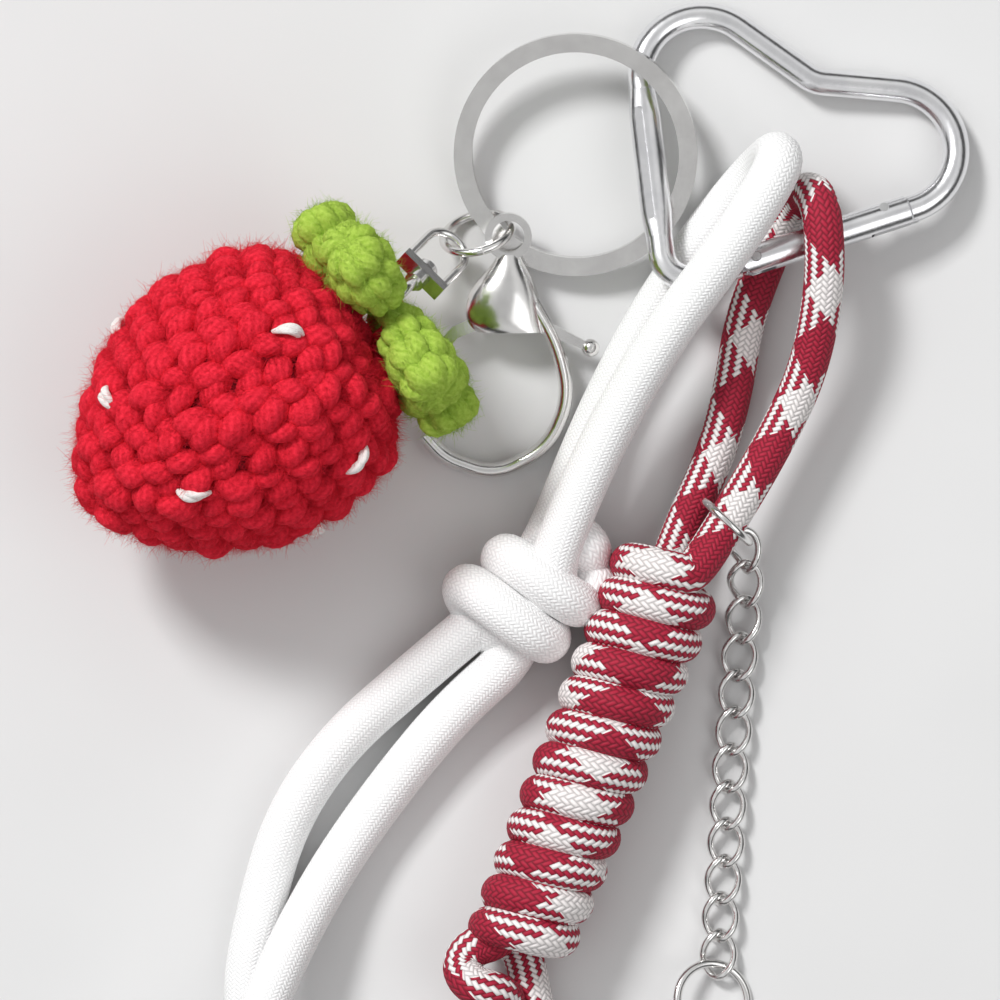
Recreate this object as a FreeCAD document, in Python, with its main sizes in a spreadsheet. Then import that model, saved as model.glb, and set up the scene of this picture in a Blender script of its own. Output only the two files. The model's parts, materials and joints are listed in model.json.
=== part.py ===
import FreeCAD, Part
import math
import os
from FreeCAD import Placement, Rotation, Vector

# A crocheted strawberry charm on a key ring: a flat split ring carries the plush with its
# swivel and a lobster clasp, and a heart-shaped carabiner carries the ring, a white braided
# wrist cord and a two-colour paracord lanyard with a curb chain.
# The piece lies on a table. +Z is up from the table, and the origin is on the table under the
# middle of the hard and plush parts. Lengths are in millimetres, angles in degrees.
# Places are written in a layout whose own middle is (frame_shift_x, frame_shift_y) away.

DIMENSIONS = [
    ("frame_shift_x", 2.3),
    ("frame_shift_y", -2.9),
    # heart carabiner, drawn in its own flat plane
    ("rod_diameter", 3.1),
    ("lobe_radius", 7.25),
    ("left_lobe_x", 23.3),
    ("left_lobe_y", 48.5),
    ("right_lobe_x", 45.2),
    ("right_lobe_y", 40.1),
    ("cleft_x", 36.2),
    ("cleft_y", 48.1),
    ("cleft_radius", 4.0),
    ("spine_angle", 96.0),
    ("gate_angle", 18.75),
    ("tip_radius", 3.3),
    ("carabiner_tilt", 13.2),
    ("spine_width", 3.6),
    ("spine_thickness", 2.4),
    ("spine_groove_width", 0.9),
    ("spine_groove_depth", 0.4),
    # gate of the carabiner, measured along it from the heart's tip
    ("gate_diameter", 3.5),
    ("gate_bore", 1.8),
    ("hinge_from_tip", 10.9),
    ("gate_end_from_tip", 29.6),
    ("latch_from_tip", 26.9),
    ("latch_pin_rise", 0.9),
    ("slot_width", 1.4),
    ("tongue_thickness", 1.2),
    ("pin_diameter", 1.1),
    ("running_gap", 0.05),
    ("end_gap", 0.25),
    # flat split ring
    ("split_ring_x", 8.7),
    ("split_ring_y", 39.7),
    ("split_ring_z", 4.5),
    ("split_ring_slope_x", 0.06),
    ("split_ring_slope_y", 0.16),
    ("split_ring_outer", 28.0),
    ("split_ring_band", 2.1),
    ("split_ring_layer", 0.82),
    ("split_ring_split", 0.06),
    # jump ring
    ("jump_ring_x", -2.6),
    ("jump_ring_y", 30.68),
    ("jump_ring_z", 3.95),
    ("jump_ring_heading", 15.4),
    ("jump_ring_tip", 122.8),
    ("jump_ring_radius", 4.0),
    ("wire_diameter", 1.0),
    # lobster clasp, from the middle of its eye
    ("clasp_x", 0.95),
    ("clasp_y", 30.3),
    ("clasp_z", 5.15),
    ("clasp_tilt", 7.0),
    ("clasp_eye_outer", 5.4),
    ("clasp_eye_inner", 3.7),
    ("clasp_eye_thickness", 1.6),
    ("claw_width", 1.7),
    ("claw_thickness", 2.6),
    ("lever_pivot_x", -1.6),
    ("lever_pivot_y", -9.1),
    ("lever_thickness", 1.2),
    ("lever_ball_diameter", 2.1),
    # swivel
    ("stirrup_width", 6.2),
    ("stirrup_length", 7.4),
    ("stirrup_plate", 1.0),
    ("swivel_post", 1.6),
    ("swivel_eye_radius", 2.2),
    # strawberry
    ("berry_x", -15.0),
    ("berry_y", 19.8),
    ("berry_z", 18.3),
    ("berry_heading", 211.7),
    ("berry_droop", 4.0),
    ("berry_length", 38.9),
    ("berry_radius", 17.1),
    ("shell_thickness", 2.4),
    ("leaf_length", 13.4),
    ("leaf_width", 8.4),
    ("leaf_thickness", 4.6),
    ("leaf_eye_room", 3.7),
    ("seed_length", 3.0),
    ("seed_width", 1.3),
    ("yarn_diameter", 1.3),
    # cords
    ("white_cord_diameter", 5.5),
    ("red_cord_diameter", 4.6),
    ("knot_width", 13.6),
    ("knot_length", 16.4),
    ("knot_thickness", 12.2),
    ("wrap_diameter", 13.8),
    ("wrap_end_diameter", 12.6),
    # chain
    ("chain_wire", 0.85),
    ("link_width", 4.45),
    ("link_pitch", 4.3),
    ("link_gap", 0.1),
    ("link_twist", 42.0),
    ("chain_ring_radius", 3.4),
    ("chain_ring_wire", 0.95),
    ("end_ring_radius", 4.4),
    ("end_ring_slack", 0.55),
    ("end_ring_lift", 0.2),
]

Z_AXIS = Vector(0, 0, 1)
X_AXIS = Vector(1, 0, 0)
Y_AXIS = Vector(0, 1, 0)

doc = FreeCAD.newDocument("StrawberryKeychain")
sheet = doc.addObject("Spreadsheet::Sheet", "Sizes")
for row, (alias, value) in enumerate(DIMENSIONS, start=1):
    sheet.set(f"A{row}", alias)
    sheet.set(f"B{row}", str(value))
    sheet.setAlias(f"B{row}", alias)
doc.recompute()

sub_parts = []


def size(alias):
    return float(sheet.get(alias))


def bind(obj, **expressions):
    """Ties an object's properties to expressions in the sheet's aliases."""
    for name, expression in expressions.items():
        for alias in sorted({a for a, _ in DIMENSIONS}, key=len, reverse=True):
            expression = expression.replace(alias, f"<{alias}>")
        expression = expression.replace("<", "Sizes.").replace(">", "")
        obj.setExpression(name, expression)
    return obj


def sub_part(obj, label, placement=None):
    """Names a finished sub-part and puts it in its place."""
    obj.Label = label
    if placement is not None:
        obj.Placement = placement
    sub_parts.append(obj)
    return obj


def shape_part(label, shape, placement=None):
    """A sub-part whose shape comes from swept or lofted curves."""
    obj = doc.addObject("Part::Feature", label)
    obj.Shape = shape
    return sub_part(obj, label, placement)


def at(x, y, z=0.0):
    """A layout point in the part's frame."""
    return Vector(x - size("frame_shift_x"), y - size("frame_shift_y"), z)


def unit(degrees):
    return Vector(math.cos(math.radians(degrees)), math.sin(math.radians(degrees)), 0)


def arc_between(corner, towards_a, towards_b, radius):
    """The arc of this radius that rounds a corner, as its two tangent points and its middle."""
    half_turn = (math.pi - towards_a.getAngle(towards_b)) / 2
    reach = radius * math.tan(half_turn)
    start = corner + towards_a * reach
    end = corner + towards_b * reach
    inward = (towards_a + towards_b).normalize()
    middle = corner + inward * (radius / math.cos(half_turn) - radius)
    return start, middle, end


def rounded_path(points, radii):
    """Straight runs joined by tangent arcs, one radius for each inner point."""
    edges = []
    here = points[0]
    for index, radius in enumerate(radii, start=1):
        corner = points[index]
        back = (points[index - 1] - corner).normalize()
        on = (points[index + 1] - corner).normalize()
        start, middle, end = arc_between(corner, back, on, radius)
        if (start - here).Length > 1e-6:
            edges.append(Part.LineSegment(here, start).toShape())
        edges.append(Part.Arc(start, middle, end).toShape())
        here = end
    if (points[-1] - here).Length > 1e-6:
        edges.append(Part.LineSegment(here, points[-1]).toShape())
    return Part.Wire(edges)


def oval(centre, one_axis, other_axis):
    """An oval outline from its two half axes, whichever is longer."""
    long_axis, short_axis = sorted((one_axis, other_axis), key=lambda a: -a.Length)
    if long_axis.Length - short_axis.Length < 1e-6:
        return Part.Wire(Part.Circle(centre, long_axis.cross(short_axis), long_axis.Length).toShape())
    return Part.Wire(Part.Ellipse(centre + long_axis, centre + short_axis, centre).toShape())


def tube(path, radius):
    """A round bar along a path, with its volume tested against section times length."""
    start = path.Edges[0].valueAt(path.Edges[0].FirstParameter)
    direction = path.Edges[0].tangentAt(path.Edges[0].FirstParameter)
    outline = Part.Wire(Part.Circle(start, direction, radius).toShape())
    solid = path.makePipe(Part.Face(outline))
    expected = math.pi * radius ** 2 * path.Length
    if abs(solid.Volume - expected) > 0.02 * expected:
        raise ValueError(f"a tube has volume {solid.Volume:.2f} where {expected:.2f} is expected")
    return solid


def cord_tube(name, route, diameter):
    """A cord's tube: each arc is as large as the two runs beside it allow."""
    points = [at(*p) for p in route]
    radii = []
    for before, corner, after in zip(points, points[1:], points[2:]):
        turn = math.pi - (before - corner).getAngle(after - corner)
        shorter = min((before - corner).Length, (after - corner).Length)
        radii.append(0.45 * shorter / math.tan(turn / 2))
    tightest = min(radii)
    path = rounded_path(points, radii)
    print(f"{name}: length {path.Length:.1f}, radii", [round(r, 1) for r in radii],
          f"tightest {tightest / diameter:.1f} diameters")
    return tube(path, diameter / 2)


def lobe_corners(centre, radius, start_angle, end_angle, count):
    """Corners of a tangent polygon round a circle, passed clockwise, ready for rounding."""
    step = (start_angle - end_angle) / count
    reach = radius / math.cos(math.radians(step / 2))
    return [centre + unit(start_angle - step * (k + 0.5)) * reach for k in range(count)]


# ---------------------------------------------------------------- frames of the assemblies

def carabiner_frame():
    """The heart's plane leans on its two lobes, with the tip up on the cords."""
    left = Vector(size("left_lobe_x"), size("left_lobe_y"), 0)
    right = Vector(size("right_lobe_x"), size("right_lobe_y"), 0)
    along = (right - left).normalize()
    out = Z_AXIS.cross(along)
    foot = left + out * (size("lobe_radius") - 0.35)
    lean = Placement(Vector(), Rotation(along, -size("carabiner_tilt")), foot)
    lift = Placement(at(0, 0, size("rod_diameter") / 2 + 0.05), Rotation())
    return lift.multiply(lean)


def heart_tip():
    """Where the spine's and the gate's centrelines meet, in the heart's plane."""
    left = Vector(size("left_lobe_x"), size("left_lobe_y"), 0)
    right = Vector(size("right_lobe_x"), size("right_lobe_y"), 0)
    spine, gate = unit(size("spine_angle")), unit(size("gate_angle"))
    on_spine = left + unit(size("spine_angle") + 90) * size("lobe_radius")
    on_gate = right + unit(size("gate_angle") - 90) * size("lobe_radius")
    gap = on_spine - on_gate
    along = (gap.x * spine.y - gap.y * spine.x) / (gate.x * spine.y - gate.y * spine.x)
    return on_gate + gate * along


def gate_frame():
    """At the heart's tip, +X along the gate and +Z out of the heart's plane."""
    turn = Placement(heart_tip(), Rotation(Z_AXIS, size("gate_angle")))
    return carabiner_frame().multiply(turn)


def split_ring_frame():
    normal = Vector(-size("split_ring_slope_x"), -size("split_ring_slope_y"), 1)
    place = at(size("split_ring_x"), size("split_ring_y"), size("split_ring_z"))
    return Placement(place, Rotation(Z_AXIS, normal))


def clasp_frame():
    place = at(size("clasp_x"), size("clasp_y"), size("clasp_z"))
    return Placement(place, Rotation(X_AXIS, size("clasp_tilt")))


def swivel_frame():
    """At the closed end of the stirrup, +X along the swivel towards the strawberry."""
    foot = at(-5.0, 29.9, 4.6)
    towards = Vector(-0.53, -0.545, 0.65).normalize()
    across = Z_AXIS.cross(towards).normalize()
    return Placement(foot, Rotation(towards, across, towards.cross(across), "XYZ"))


def berry_frame():
    """At the middle of the leafy end, +X along the strawberry towards its tip."""
    place = at(size("berry_x"), size("berry_y"), size("berry_z"))
    heading = Rotation(Z_AXIS, size("berry_heading"))
    return Placement(place, heading.multiply(Rotation(Y_AXIS, size("berry_droop"))))


# ---------------------------------------------------------------- heart carabiner

def heart_corners(tip):
    """The corners of the heart's centreline from the spine's top round to the nose."""
    radius = size("lobe_radius")
    left = Vector(size("left_lobe_x"), size("left_lobe_y"), 0)
    right = Vector(size("right_lobe_x"), size("right_lobe_y"), 0)
    cleft = Vector(size("cleft_x"), size("cleft_y"), 0)
    to_left, to_right = cleft - left, cleft - right
    leave = math.degrees(math.atan2(to_left.y, to_left.x) + math.acos(radius / to_left.Length))
    arrive = math.degrees(math.atan2(to_right.y, to_right.x) - math.acos(radius / to_right.Length))
    corners = lobe_corners(left, radius, size("spine_angle") + 90, leave, 2)
    radii = [radius] * 2 + [size("cleft_radius")] + [radius] * 2
    corners.append(cleft)
    corners += lobe_corners(right, radius, arrive, size("gate_angle") - 90, 2)
    return corners, radii


def heart_rod():
    """The round rod: over the lobes to the nose, and round the tip to the hinge."""
    tip = heart_tip()
    spine, gate = unit(size("spine_angle")), unit(size("gate_angle"))
    radius = size("rod_diameter") / 2
    nose = tip + gate * (size("gate_end_from_tip") + size("end_gap"))
    shoulder = tip + gate * (size("hinge_from_tip") - size("gate_diameter") / 2 - size("end_gap"))
    corners, radii = heart_corners(tip)
    upper = rounded_path([tip + spine * spine_top()] + corners + [nose], radii)
    lower = rounded_path([tip + spine * spine_bottom(), tip, shoulder], [size("tip_radius")])
    return tube(upper, radius).fuse(tube(lower, radius))


def spine_bottom():
    return 6.0


def spine_top():
    return 23.5


def spine_bar():
    """The pressed spine: the rod flattens, runs straight with a groove, and rounds again."""
    tip, along = heart_tip(), unit(size("spine_angle"))
    radius, taper = size("rod_diameter") / 2, 3.0
    across = along.cross(Z_AXIS)
    wide, thick = size("spine_width") / 2, size("spine_thickness") / 2
    low, high = spine_bottom(), spine_top()
    end = 0.94 * radius
    rings = [(low - 0.8, end, 0.98 * end), (low + taper, wide, thick),
             (high - taper, wide, thick), (high + 0.8, end, 0.98 * end)]
    wires = []
    for distance, half_width, half_height in rings:
        wires.append(oval(tip + along * distance, across * half_width, Z_AXIS * half_height))
    pieces = [Part.makeLoft(wires[k:k + 2], True, True) for k in range(3)]
    bar = pieces[0].fuse(pieces[1:])
    for side in (1, -1):
        bar = bar.cut(spine_groove(tip, along, across, side * thick, low + 2.5, high - 2.5))
    return bar


def spine_groove(tip, along, across, face, low, high):
    """A round-ended slot pressed into one face of the spine, nearer its outer edge."""
    depth, half = size("spine_groove_depth"), size("spine_groove_width") / 2
    line = tip - across * 0.75
    box = Part.makeBox(high - low, 2 * half, 2 * depth, Vector(0, -half, -depth))
    for x in (0, high - low):
        box = box.fuse(Part.makeCylinder(half, 2 * depth, Vector(x, 0, -depth)))
    box.Placement = Placement(line + along * low + Z_AXIS * face, Rotation(X_AXIS, along))
    return box


def hinge_tongue():
    """The flat tongue and eye that the gate turns on."""
    reach, gate = size("hinge_from_tip"), size("gate_diameter") / 2
    thick = size("tongue_thickness")
    start = reach - gate - size("end_gap") - 1.0
    plate = Part.makeBox(reach - start, 2.2, thick, Vector(start, -1.1, -thick / 2))
    eye = Part.makeCylinder(1.45, thick, Vector(reach, 0, -thick / 2))
    hole = Part.makeCylinder(size("pin_diameter") / 2, 2 * thick, Vector(reach, 0, -thick))
    return plate.fuse(eye).cut(hole)


def nose_tongue():
    """The flat nose that enters the gate's fork, with the hook that the latch pin drops in."""
    end = size("gate_end_from_tip") + size("end_gap") + 0.6
    pin, thick = size("latch_from_tip"), size("tongue_thickness")
    low, step, top = -size("gate_diameter") / 2 + 0.15, size("latch_pin_rise") - 0.75, 0.95
    hook_start = pin - 1.9
    outline = [(hook_start, low), (end, low), (end, 0.9), (pin + 1.1, 0.9), (pin + 0.9, step),
               (pin - 0.8, step), (pin - 0.95, top), (hook_start, top)]
    points = [Vector(x, y, -thick / 2) for x, y in outline]
    face = Part.Face(Part.makePolygon(points + points[:1]))
    return face.extrude(Z_AXIS * thick)


def carabiner_body():
    """One bent aluminium rod with its pressed spine, hinge eye and nose."""
    in_plane = heart_rod().fuse(spine_bar())
    turn = Placement(heart_tip(), Rotation(Z_AXIS, size("gate_angle")))
    for piece in (hinge_tongue(), nose_tongue()):
        piece.Placement = turn
        in_plane = in_plane.fuse(piece)
    solid = in_plane.removeSplitter().Solids[0]
    return shape_part("carabiner_body", solid, carabiner_frame())


def slot_box(name, x_start, x_end, y_low, y_high):
    """A slot through the gate from face to face."""
    box = doc.addObject("Part::Box", name)
    bind(box, Length=f"{x_end} - ({x_start})", Width=f"{y_high} - ({y_low})", Height="slot_width")
    bind(box, **{"Placement.Base.x": x_start, "Placement.Base.y": y_low,
                 "Placement.Base.z": "-slot_width / 2"})
    return box


def cylinder(name, radius, height, base=None, axis=Z_AXIS):
    """A bound cylinder along an axis, with a bound base point where one is given."""
    obj = doc.addObject("Part::Cylinder", name)
    obj.Placement = Placement(Vector(), Rotation(Z_AXIS, axis))
    bind(obj, Radius=radius, Height=height)
    for letter, expression in zip("xyz", base or ()):
        bind(obj, **{f"Placement.Base.{letter}": expression})
    return obj


def carabiner_gate():
    """The tubular gate: a rounded fork on the hinge, a bore for the spring and a latch fork."""
    start = "(hinge_from_tip - gate_diameter / 2)"
    bar = cylinder("gate_bar", "gate_diameter / 2", f"gate_end_from_tip - {start}",
                   (start, "0", "0"), X_AXIS)
    rounding = cylinder("gate_rounding", "gate_diameter / 2", "gate_diameter",
                        ("hinge_from_tip", "0", "-gate_diameter / 2"))
    keep = doc.addObject("Part::Box", "gate_keep")
    bind(keep, Length="gate_end_from_tip", Width="gate_diameter", Height="gate_diameter")
    bind(keep, **{"Placement.Base.x": "hinge_from_tip", "Placement.Base.y": "-gate_diameter / 2",
                  "Placement.Base.z": "-gate_diameter / 2"})
    envelope = doc.addObject("Part::Fuse", "gate_envelope")
    envelope.Base, envelope.Tool = keep, rounding
    outside = doc.addObject("Part::Common", "gate_outside")
    outside.Base, outside.Tool = bar, envelope
    cutters = [
        slot_box("gate_hinge_slot", f"{start} - 1", "(hinge_from_tip + 2.0)",
                 "-gate_diameter", "gate_diameter"),
        slot_box("gate_latch_slot", "(latch_from_tip - 2.3)", "(gate_end_from_tip + 1)",
                 "-gate_diameter", "(gate_diameter / 2 - 0.35)"),
        cylinder("gate_bore_cut", "gate_bore / 2", "latch_from_tip - 2 - hinge_from_tip",
                 ("hinge_from_tip", "0", "0"), X_AXIS),
        cylinder("gate_hinge_hole", "pin_diameter / 2 + running_gap", "gate_diameter",
                 ("hinge_from_tip", "0", "-gate_diameter / 2")),
        cylinder("gate_latch_hole", "pin_diameter / 2", "gate_diameter",
                 ("latch_from_tip", "latch_pin_rise", "-gate_diameter / 2")),
    ]
    for index, cutter in enumerate(cutters):
        cut = doc.addObject("Part::Cut", f"gate_cut_{index}")
        cut.Base, cut.Tool = outside, cutter
        outside = cut
    return sub_part(outside, "carabiner_gate", gate_frame())


def gate_pins():
    """The hinge pin stays in the body's eye, and the latch pin in the gate's fork."""
    hinge = cylinder("hinge_pin_bar", "pin_diameter / 2", "gate_diameter")
    sub_part(hinge, "gate_hinge_pin")
    hinge.Placement = gate_frame().multiply(
        Placement(Vector(size("hinge_from_tip"), 0, -size("gate_diameter") / 2), Rotation()))
    half_height = math.sqrt((size("gate_diameter") / 2) ** 2 - size("latch_pin_rise") ** 2)
    latch = cylinder("latch_pin_bar", "pin_diameter / 2", "gate_diameter")
    latch.setExpression("Height", None)
    latch.Height = 2 * half_height
    sub_part(latch, "gate_latch_pin")
    latch.Placement = gate_frame().multiply(
        Placement(Vector(size("latch_from_tip"), size("latch_pin_rise"), -half_height), Rotation()))


def gate_spring():
    """The coil spring in the gate's bore, as the tube that its coils fill."""
    outer = cylinder("spring_outer", "gate_bore / 2 - 0.1", "8", None, X_AXIS)
    inner = cylinder("spring_inner", "gate_bore / 2 - 0.4", "8", None, X_AXIS)
    spring = doc.addObject("Part::Cut", "spring_cut")
    spring.Base, spring.Tool = outer, inner
    place = Placement(Vector(size("hinge_from_tip") + 3, 0, 0), Rotation())
    sub_part(spring, "gate_spring", gate_frame().multiply(place))


# ---------------------------------------------------------------- split ring and jump ring

def band_outline(outer, band, layer, z, angle):
    """The band's rectangular section at an angle round the ring."""
    out = unit(angle)
    corners = [(outer - band, -layer / 2), (outer, -layer / 2),
               (outer, layer / 2), (outer - band, layer / 2)]
    points = [out * r + Z_AXIS * (z + h) for r, h in corners]
    return Part.makePolygon(points + points[:1])


def band_arc(outer, band, layer, z, begin, sweep):
    """A flat layer of the band through an angle, with eased edges."""
    face = Part.Face(band_outline(outer, band, layer, z, begin))
    arc = face.revolve(Vector(), Z_AXIS, sweep)
    return arc


def split_ring_part():
    """The two layers turn the same way, and a sloped step takes the band from one to the other."""
    outer, band = size("split_ring_outer") / 2, size("split_ring_band")
    layer, gap = size("split_ring_layer"), size("split_ring_split")
    low, high = -(layer + gap) / 2, (layer + gap) / 2
    start, step, end_space = 216.0, 14.0, 4.0
    lower = band_arc(outer, band, layer, low, start + step + end_space, 360 - step - end_space)
    upper = band_arc(outer, band, layer, high, start + step, 360 - step - end_space)
    stages = 6
    outlines = []
    for k in range(stages + 1):
        share = k / stages
        ease = share * share * (3 - 2 * share)
        outlines.append(band_outline(outer, band, layer, low + (high - low) * ease, start + step * share))
    joggle = Part.makeLoft(outlines, True, False)
    ring = lower.fuse([upper, joggle]).removeSplitter()
    return shape_part("split_ring", ring.Solids[0], split_ring_frame())


def jump_ring():
    """A round wire ring with a hairline cut, tipped up between ring, clasp and swivel."""
    ring = doc.addObject("Part::Torus", "jump_ring_wire")
    bind(ring, Radius1="jump_ring_radius", Radius2="wire_diameter / 2")
    slit = doc.addObject("Part::Box", "jump_ring_slit")
    bind(slit, Length="0.12", Width="2 * wire_diameter", Height="2 * wire_diameter")
    bind(slit, **{"Placement.Base.y": "jump_ring_radius - wire_diameter",
                  "Placement.Base.z": "-wire_diameter"})
    cut = doc.addObject("Part::Cut", "jump_ring_cut")
    cut.Base, cut.Tool = ring, slit
    place = at(size("jump_ring_x"), size("jump_ring_y"), size("jump_ring_z"))
    along = unit(size("jump_ring_heading"))
    rise = Rotation(along, size("jump_ring_tip")).multVec(Z_AXIS.cross(along))
    turn = Rotation(along, rise, along.cross(rise), "XYZ")
    sub_part(cut, "jump_ring", Placement(place, turn))


# ---------------------------------------------------------------- lobster clasp

def oval_loft(rows):
    """A rounded body through oval sections across Y: (x, y, half width, half height)."""
    wires = []
    for x, y, half_width, half_height in rows:
        wires.append(oval(Vector(x, y, 0), X_AXIS * half_width, Z_AXIS * half_height))
    return Part.makeLoft(wires, True, False)


def claw_bar():
    """The curved claw from the clasp's shoulder round to the mouth."""
    corners = [(2.6, -7.2), (5.7, -12.6), (7.0, -18.6), (4.6, -24.4), (-1.6, -27.6),
               (-7.2, -25.6), (-9.6, -22.9)]
    points = [Vector(x, y, 0) for x, y in corners]
    radii = []
    for before, corner, after in zip(points, points[1:], points[2:]):
        turn = math.pi - (before - corner).getAngle(after - corner)
        radii.append(0.45 * min((before - corner).Length, (after - corner).Length) / math.tan(turn / 2))
    path = rounded_path(points, radii)
    direction = (points[1] - points[0]).normalize()
    side = direction.cross(Z_AXIS)
    profile = oval(points[0], side * size("claw_width") / 2, Z_AXIS * size("claw_thickness") / 2)
    return path.makePipe(Part.Face(profile))


def clasp_body():
    """Cast eye, domed shoulder slotted for the lever, and the claw."""
    thick = size("clasp_eye_thickness")
    eye = Part.makeCylinder(size("clasp_eye_outer") / 2, thick, Vector(0, 0, -thick / 2))
    dome = oval_loft([(0.0, -2.1, 1.3, 0.9), (-0.2, -4.4, 2.7, 1.9), (-0.6, -7.2, 4.2, 2.5),
                      (-0.5, -9.4, 4.5, 2.5), (0.3, -11.0, 4.1, 2.1)])
    body = eye.fuse([dome, claw_bar()])
    hole = Part.makeCylinder(size("clasp_eye_inner") / 2, 2 * thick, Vector(0, 0, -thick))
    gap = size("lever_thickness") + 0.4
    slot = Part.makeBox(16, 4.6, gap, Vector(-8, -11.7, -gap / 2))
    slot = slot.fuse(Part.makeBox(6, 4.6, gap, Vector(3, -13.8, -gap / 2)))
    pin = lever_pin_hole(size("pin_diameter") / 2)
    body = body.cut([hole, slot, pin]).removeSplitter()
    return shape_part("clasp_body", body.Solids[0], clasp_frame())


def lever_pin_hole(radius):
    place = Vector(size("lever_pivot_x"), size("lever_pivot_y"), -2.3)
    return Part.makeCylinder(radius, 4.6, place)


def clasp_lever():
    """The gate arm and thumb arm in one plate, with the thumb ball on its end."""
    thick = size("lever_thickness")
    pivot = Vector(size("lever_pivot_x"), size("lever_pivot_y"), 0)
    arm = [(-1.6, -8.3), (-6.4, -10.4), (-10.2, -14.6), (-10.85, -20.9), (-9.65, -21.0),
           (-9.0, -15.2), (-5.8, -11.7), (-1.6, -10.0), (3.4, -11.0), (8.6, -13.0),
           (8.9, -12.1), (3.4, -9.2)]
    points = [Vector(x, y, -thick / 2) for x, y in arm]
    plate = Part.Face(Part.makePolygon(points + points[:1])).extrude(Z_AXIS * thick)
    boss = Part.makeCylinder(1.2, thick, pivot - Z_AXIS * thick / 2)
    ball = Part.makeSphere(size("lever_ball_diameter") / 2, Vector(9.45, -12.9, 0))
    hole = lever_pin_hole(size("pin_diameter") / 2 + size("running_gap"))
    lever = plate.fuse([boss, ball]).cut(hole).removeSplitter()
    return shape_part("clasp_lever", lever.Solids[0], clasp_frame())


def clasp_pin():
    """The rivet that the lever turns on, flush with the domed cheeks."""
    pin = cylinder("clasp_pin_bar", "pin_diameter / 2", "4.4")
    place = Vector(size("lever_pivot_x"), size("lever_pivot_y"), -2.2)
    sub_part(pin, "clasp_pin", clasp_frame().multiply(Placement(place, Rotation())))


# ---------------------------------------------------------------- swivel

def swivel_stirrup():
    """A wire stirrup whose ends meet in a flat plate with the post's hole."""
    half = (size("stirrup_width") - size("wire_diameter")) / 2
    length, plate = size("stirrup_length"), size("stirrup_plate")
    wire = size("wire_diameter") / 2
    corners = [Vector(length, half, 0), Vector(0, half, 0), Vector(0, -half, 0), Vector(length, -half, 0)]
    bow = tube(rounded_path(corners, [half * 0.98] * 2), wire)
    base = Part.makeBox(plate, size("stirrup_width"), 2.4,
                        Vector(length - plate / 2, -size("stirrup_width") / 2, -1.2))
    hole = Part.makeCylinder(size("swivel_post") / 2 + size("running_gap"), 3,
                             Vector(length - 1.5, 0, 0), X_AXIS)
    solid = bow.fuse(base).cut(hole).removeSplitter()
    return shape_part("swivel_stirrup", solid.Solids[0], swivel_frame())


def swivel_eye():
    """The post, riveted inside the stirrup, with a collar and the eye for the yarn loop."""
    eye = doc.addObject("Part::Torus", "swivel_eye_ring")
    eye.Placement = Placement(Vector(), Rotation(X_AXIS, 90))
    bind(eye, Radius1="swivel_eye_radius", Radius2="wire_diameter / 2")
    bind(eye, **{"Placement.Base.x": "stirrup_length + 2.6 + swivel_eye_radius"})
    post = cylinder("swivel_post_bar", "swivel_post / 2", "3.6",
                    ("stirrup_length - 1.2", "0", "0"), X_AXIS)
    head = cylinder("swivel_rivet_head", "swivel_post / 2 + 0.5", "0.7",
                    ("stirrup_length - stirrup_plate / 2 - 0.75", "0", "0"), X_AXIS)
    collar = cylinder("swivel_collar", "swivel_post / 2 + 0.4", "1.2",
                      ("stirrup_length + stirrup_plate / 2 + 0.05", "0", "0"), X_AXIS)
    fused = doc.addObject("Part::MultiFuse", "swivel_eye_fused")
    fused.Shapes = [eye, post, head, collar]
    sub_part(fused, "swivel_eye", swivel_frame())


# ---------------------------------------------------------------- strawberry

BERRY_SHARES = [(0.0, 0.0), (0.004, 0.30), (0.05, 0.66), (0.14, 0.87), (0.27, 0.98), (0.40, 1.0),
                (0.56, 0.955), (0.72, 0.80), (0.86, 0.565), (0.96, 0.30), (1.0, 0.0)]


def berry_solid(inset):
    """The plump strawberry turned round its own axis, drawn in by an inset all round."""
    length, radius = size("berry_length") - 2 * inset, size("berry_radius") - inset
    points = [Vector(inset + a * length, 0, r * radius) for a, r in BERRY_SHARES]
    curve = Part.BSplineCurve()
    curve.interpolate(points)
    closing = Part.LineSegment(points[-1], points[0]).toShape()
    face = Part.Face(Part.Wire([curve.toShape(), closing]))
    return face.revolve(Vector(), X_AXIS, 360)


def berry_parts():
    """The crocheted shell is hollow, and the stuffing fills it."""
    wall = size("shell_thickness")
    shell = berry_solid(0).cut(berry_solid(wall))
    shape_part("berry_shell", shell, berry_frame())
    shape_part("berry_stuffing", berry_solid(wall + 0.1), berry_frame())


def ellipsoid(name, placement, long_radius, wide_radius, thick_radius):
    """A rounded blob: +X long, +Y wide, +Z thick."""
    obj = doc.addObject("Part::Ellipsoid", name)
    obj.Angle1, obj.Angle2, obj.Angle3 = -90, 90, 360
    bind(obj, Radius2=long_radius, Radius3=wide_radius, Radius1=thick_radius)
    obj.Placement = placement
    return obj


LEAF_ANGLES = [-98, -42, 58, 100, 143]
LEAF_ROWS = [(-1.2, 0.11, 0.35, 0.35), (-1.2, 0.27, 0.74, 0.76), (-1.0, 0.58, 1.0, 1.0),
             (-0.4, 0.84, 0.87, 0.86), (0.2, 1.0, 0.44, 0.43)]


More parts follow.
